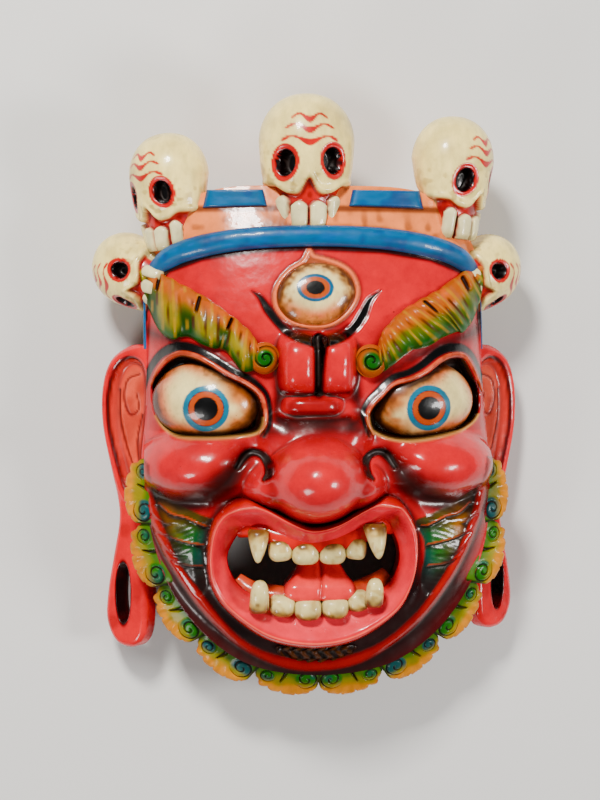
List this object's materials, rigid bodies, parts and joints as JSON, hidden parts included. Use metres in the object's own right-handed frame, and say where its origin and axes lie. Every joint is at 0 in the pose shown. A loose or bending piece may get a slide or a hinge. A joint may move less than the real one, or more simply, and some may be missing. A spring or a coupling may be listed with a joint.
{
  "type": "tibetan cham mask",
  "caption": "Carved and painted wooden dance mask of a three-eyed guardian with open fanged mouth, skull crown, leafy beard and long-lobed ears.",
  "frame": {"origin": "centre of the outer box, on the plane of the flat back rim that the mask lies on", "axes": "+X to the viewer's right of the face, +Y towards the crown, +Z the way the face looks, up when the mask lies on its back"},
  "size_m": [0.2752, 0.3772, 0.1478],
  "materials": {
    "painted_wood": "gloss paint over carved wood, red face with blue, yellow, green, cream and black, darkened in the creases"
  },
  "bodies": {
    "root": {"mask": "painted_wood"}
  },
  "joints": []
}
